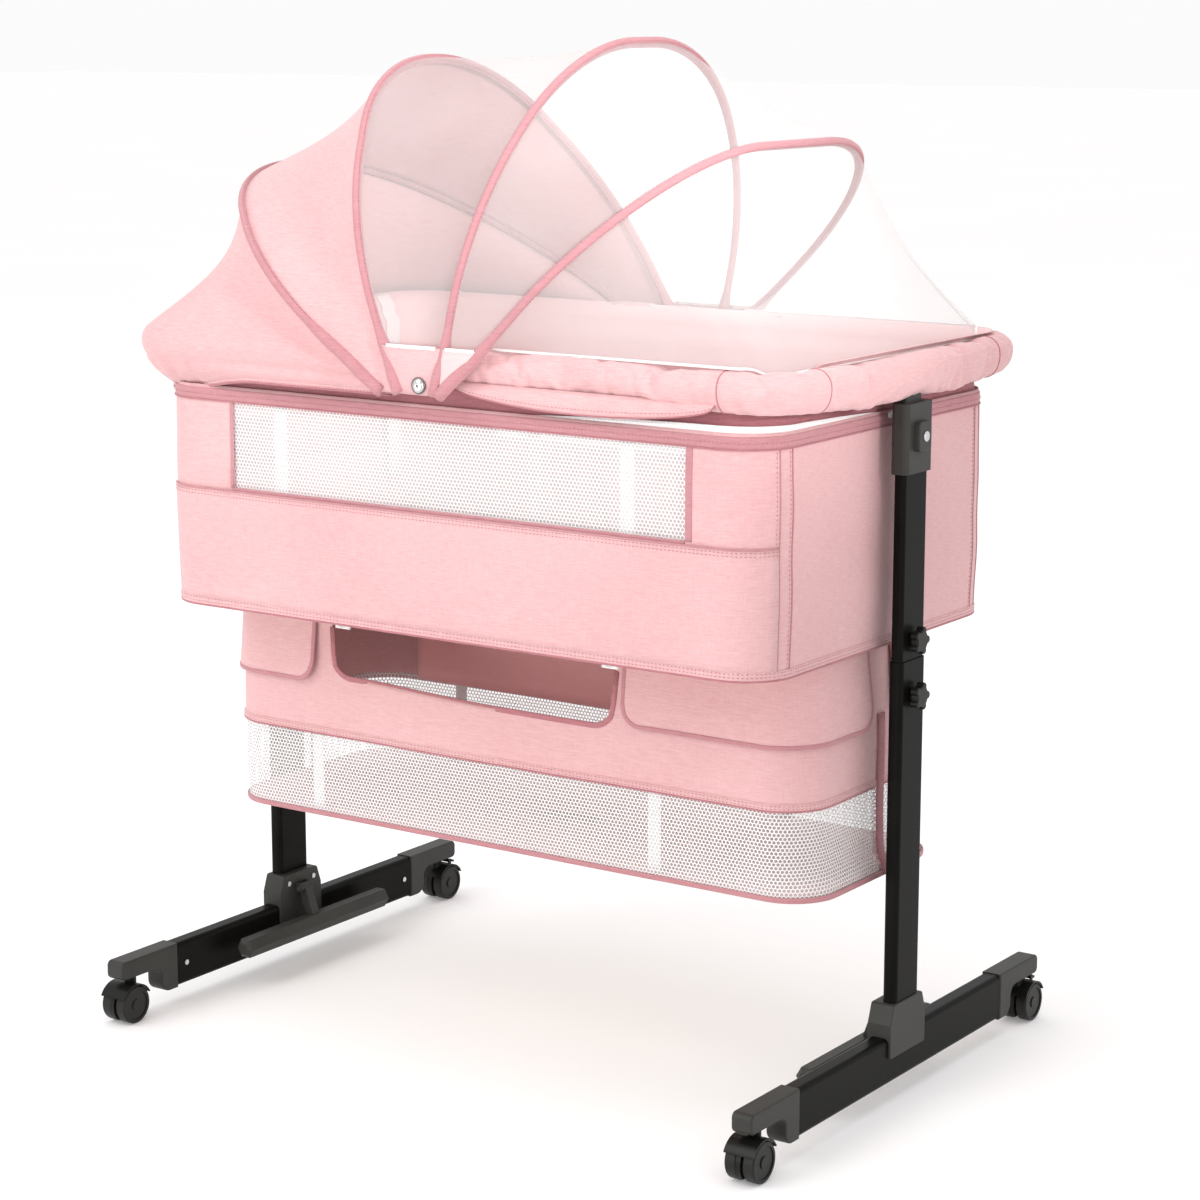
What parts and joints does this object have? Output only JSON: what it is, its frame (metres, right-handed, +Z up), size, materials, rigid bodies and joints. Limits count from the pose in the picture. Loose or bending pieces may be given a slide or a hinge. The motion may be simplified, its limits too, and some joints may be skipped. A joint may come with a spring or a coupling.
{
  "type": "bassinet on stand",
  "caption": "Bedside bassinet with a folding arched canopy, mesh windows and a storage basket, on a height-adjustable stand with swivel casters.",
  "frame": {"origin": "on the floor, below the middle of the bed", "axes": "+X along the bed towards the foot end, +Y towards the rear side (the access side is -Y), +Z up"},
  "size_m": [0.9806, 0.7034, 1.2308],
  "materials": {
    "black_steel": "semi-gloss black powder coat over steel tube",
    "charcoal_plastic": "fine-textured charcoal moulded nylon",
    "black_plastic": "moulded black plastic",
    "bright_metal": "bright zinc-plated steel",
    "caster_plastic": "glossy black caster nylon",
    "wheel_tread": "soft black caster tread",
    "rail_steel": "painted steel tube and spring wire inside fabric sleeves",
    "hub_metal": "bright snap cap on a steel pin",
    "zip_nylon": "white zipper tape and pull",
    "pink_fabric": "light pink linen-look polyester with darker rose binding",
    "window_net": "white hexagonal mesh",
    "canopy_net": "very fine white insect net",
    "mattress_cover": "light pink quilted cotton over foam",
    "board": "fibreboard in a fabric pocket"
  },
  "bodies": {
    "right_leg": {"right_floor_beam": "black_steel", "right_saddle": "charcoal_plastic", "right_leg_fasteners": "bright_metal", "right_lower_post": "black_steel", "right_front_cap": "charcoal_plastic", "right_rear_cap": "charcoal_plastic"},
    "left_leg": {"left_floor_beam": "black_steel", "left_saddle": "charcoal_plastic", "left_leg_fasteners": "bright_metal", "left_lower_post": "black_steel", "left_front_cap": "charcoal_plastic", "left_rear_cap": "charcoal_plastic"},
    "bed": {"right_upper_post": "black_steel", "left_upper_post": "black_steel", "right_collar": "charcoal_plastic", "left_collar": "charcoal_plastic", "rail_tube": "rail_steel", "rail_pad": "pink_fabric", "canopy_hubs": "hub_metal", "tub_front_panel": "pink_fabric", "tub_rear_panel": "pink_fabric", "tub_foot_end": "pink_fabric", "tub_head_end": "pink_fabric", "front_window_net": "window_net", "rear_window_net": "window_net", "tub_floor_board": "board", "mattress": "mattress_cover", "basket_front": "pink_fabric", "basket_rear": "pink_fabric", "basket_foot_end": "pink_fabric", "basket_head_end": "pink_fabric", "basket_floor_board": "board", "canopy_head_shade": "pink_fabric"},
    "right_foot_fold": {"right_foot_bar": "charcoal_plastic"},
    "right_clamp": {"right_clamp_knob": "black_plastic"},
    "right_stop": {"right_stop_knob": "black_plastic"},
    "right_button": {"right_push_button": "bright_metal"},
    "right_front_caster": {"right_front_yoke": "caster_plastic"},
    "right_front_wheel_pair": {"right_front_wheels": "wheel_tread"},
    "right_rear_caster": {"right_rear_yoke": "caster_plastic"},
    "right_rear_wheel_pair": {"right_rear_wheels": "wheel_tread"},
    "right_brake": {"right_rear_brake_lever": "caster_plastic"},
    "left_foot_fold": {"left_foot_bar": "charcoal_plastic"},
    "left_clamp": {"left_clamp_knob": "black_plastic"},
    "left_stop": {"left_stop_knob": "black_plastic"},
    "left_button": {"left_push_button": "bright_metal"},
    "left_front_caster": {"left_front_yoke": "caster_plastic"},
    "left_front_wheel_pair": {"left_front_wheels": "wheel_tread"},
    "left_rear_caster": {"left_rear_yoke": "caster_plastic"},
    "left_rear_wheel_pair": {"left_rear_wheels": "wheel_tread"},
    "left_brake": {"left_rear_brake_lever": "caster_plastic"},
    "zip_slider": {"zipper_pull": "zip_nylon"},
    "hoop_a": {"canopy_hoop_a": "rail_steel", "canopy_front_shade": "pink_fabric"},
    "hoop_b": {"canopy_hoop_b": "rail_steel", "canopy_middle_net": "canopy_net"},
    "hoop_c": {"canopy_hoop_c": "rail_steel", "canopy_front_net": "canopy_net"},
    "hoop_d": {"canopy_hoop_d": "rail_steel", "canopy_foot_net": "canopy_net"}
  },
  "joints": [
    {"name": "bed_height", "type": "slide", "parent": "right_leg", "child": "bed", "axis": [0, 0, 1], "range_m": [0, 0.1]},
    {"name": "left_leg_height", "type": "slide", "parent": "bed", "child": "left_leg", "axis": [0, 0, -1], "range_m": [0, 0.1]},
    {"name": "right_foot_fold_hinge", "type": "hinge", "parent": "right_leg", "child": "right_foot_fold", "pos_m": [0.4415, 0, 0.1], "axis": [0, 1, 0], "range_deg": [0, 70]},
    {"name": "right_clamp_turn", "type": "hinge", "parent": "right_leg", "child": "right_clamp", "pos_m": [0.48, 0, 0.484], "axis": [1, 0, 0], "continuous": true},
    {"name": "right_stop_turn", "type": "hinge", "parent": "bed", "child": "right_stop", "pos_m": [0.48, 0, 0.549], "axis": [1, 0, 0], "continuous": true},
    {"name": "right_button_press", "type": "slide", "parent": "bed", "child": "right_button", "axis": [-1, 0, 0], "range_m": [0, 0.003], "stiffness_N_per_m": 600},
    {"name": "right_front_caster_swivel", "type": "hinge", "parent": "right_leg", "child": "right_front_caster", "pos_m": [0.46375, -0.317, 0.058], "axis": [0, 0, 1], "continuous": true},
    {"name": "right_front_wheel_pair_roll", "type": "hinge", "parent": "right_front_caster", "child": "right_front_wheel_pair", "pos_m": [0.46375, -0.326, 0.024], "axis": [1, 0, 0], "continuous": true},
    {"name": "right_rear_caster_swivel", "type": "hinge", "parent": "right_leg", "child": "right_rear_caster", "pos_m": [0.46375, 0.317, 0.058], "axis": [0, 0, 1], "continuous": true},
    {"name": "right_rear_wheel_pair_roll", "type": "hinge", "parent": "right_rear_caster", "child": "right_rear_wheel_pair", "pos_m": [0.46375, 0.326, 0.024], "axis": [1, 0, 0], "continuous": true},
    {"name": "right_brake_press", "type": "hinge", "parent": "right_rear_caster", "child": "right_brake", "pos_m": [0.46375, 0.33746, 0.05237], "axis": [-1, 0, 0], "range_deg": [0, 12]},
    {"name": "left_foot_fold_hinge", "type": "hinge", "parent": "left_leg", "child": "left_foot_fold", "pos_m": [-0.4415, 0, 0.1], "axis": [0, -1, 0], "range_deg": [0, 70]},
    {"name": "left_clamp_turn", "type": "hinge", "parent": "left_leg", "child": "left_clamp", "pos_m": [-0.48, 0, 0.484], "axis": [-1, 0, 0], "continuous": true},
    {"name": "left_stop_turn", "type": "hinge", "parent": "bed", "child": "left_stop", "pos_m": [-0.48, 0, 0.549], "axis": [-1, 0, 0], "continuous": true},
    {"name": "left_button_press", "type": "slide", "parent": "bed", "child": "left_button", "axis": [1, 0, 0], "range_m": [0, 0.003], "stiffness_N_per_m": 600},
    {"name": "left_front_caster_swivel", "type": "hinge", "parent": "left_leg", "child": "left_front_caster", "pos_m": [-0.46375, -0.317, 0.058], "axis": [0, 0, 1], "continuous": true},
    {"name": "left_front_wheel_pair_roll", "type": "hinge", "parent": "left_front_caster", "child": "left_front_wheel_pair", "pos_m": [-0.46375, -0.326, 0.024], "axis": [1, 0, 0], "continuous": true},
    {"name": "left_rear_caster_swivel", "type": "hinge", "parent": "left_leg", "child": "left_rear_caster", "pos_m": [-0.46375, 0.317, 0.058], "axis": [0, 0, 1], "continuous": true},
    {"name": "left_rear_wheel_pair_roll", "type": "hinge", "parent": "left_rear_caster", "child": "left_rear_wheel_pair", "pos_m": [-0.46375, 0.326, 0.024], "axis": [1, 0, 0], "continuous": true},
    {"name": "left_brake_press", "type": "hinge", "parent": "left_rear_caster", "child": "left_brake", "pos_m": [-0.46375, 0.33746, 0.05237], "axis": [-1, 0, 0], "range_deg": [0, 12]},
    {"name": "zip_slide", "type": "slide", "parent": "bed", "child": "zip_slider", "axis": [0, -1, 0], "range_m": [0, 0.15]},
    {"name": "hoop_a_fold", "type": "hinge", "parent": "bed", "child": "hoop_a", "pos_m": [0, 0, 0.839], "axis": [0, -1, 0], "range_deg": [0, 8.5], "deforming": ["canopy_head_shade", "canopy_front_shade", "canopy_middle_net", "canopy_front_net", "canopy_foot_net"]},
    {"name": "hoop_b_fold", "type": "hinge", "parent": "hoop_a", "child": "hoop_b", "pos_m": [0, 0, 0.839], "axis": [0, -1, 0], "range_deg": [0, 11.5]},
    {"name": "hoop_c_fold", "type": "hinge", "parent": "hoop_b", "child": "hoop_c", "pos_m": [0, 0, 0.839], "axis": [0, -1, 0], "range_deg": [0, 38]},
    {"name": "hoop_d_fold", "type": "hinge", "parent": "hoop_c", "child": "hoop_d", "pos_m": [0, 0, 0.839], "axis": [0, -1, 0], "range_deg": [0, 22]}
  ],
  "couplings": [
    {"joint": "left_leg_height", "follows": "bed_height", "ratio": 1},
    {"joint": "hoop_b_fold", "follows": "hoop_a_fold", "ratio": 1.347},
    {"joint": "hoop_c_fold", "follows": "hoop_a_fold", "ratio": 4.465},
    {"joint": "hoop_d_fold", "follows": "hoop_a_fold", "ratio": 2.582}
  ]
}
